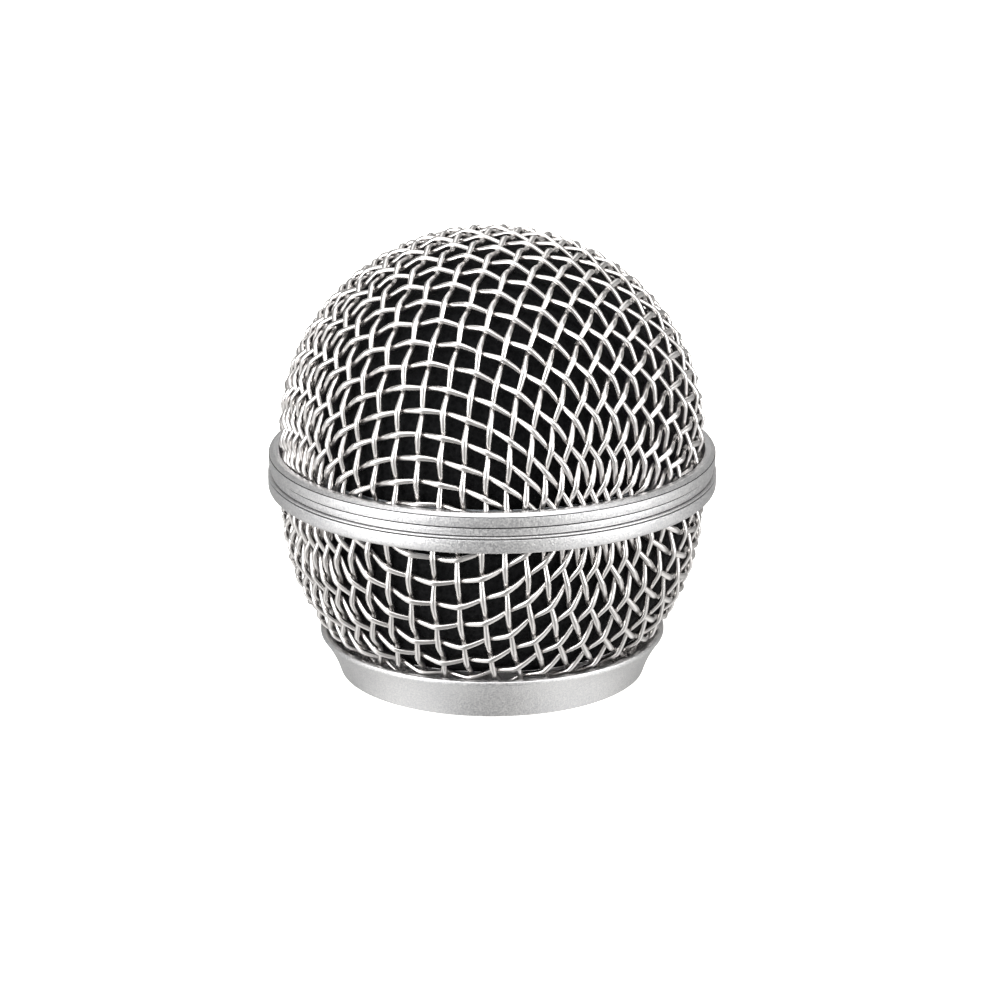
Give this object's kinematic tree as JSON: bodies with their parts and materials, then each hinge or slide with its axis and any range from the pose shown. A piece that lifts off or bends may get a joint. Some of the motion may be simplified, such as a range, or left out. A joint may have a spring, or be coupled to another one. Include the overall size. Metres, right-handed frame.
{
  "type": "microphone grille head",
  "caption": "Ball-shaped woven wire grille head with a centre band, a flared threaded collar and a foam liner, for a hand-held vocal microphone.",
  "frame": {"origin": "centre of the collar's bottom face, on the head's own axis", "axes": "+Z along the head's axis from the collar up to the dome's crown; -Y faces the viewer; +X to the viewer's right"},
  "size_m": [0.051, 0.051, 0.0516],
  "materials": {
    "nickel_wire": "satin",
    "satin_metal": "satin",
    "hoop_steel": "satin",
    "black_foam": "matte"
  },
  "bodies": {
    "root": {"collar": "satin_metal", "collar_clamp_ring": "satin_metal", "bowl_warp_wires": "nickel_wire", "bowl_weft_wires": "nickel_wire", "band_lower_ring": "satin_metal", "band_inner_hoop": "hoop_steel", "band_upper_ring": "satin_metal", "dome_warp_wires": "nickel_wire", "dome_weft_wires": "nickel_wire", "foam_sleeve": "black_foam", "foam_dome": "black_foam"}
  },
  "joints": []
}
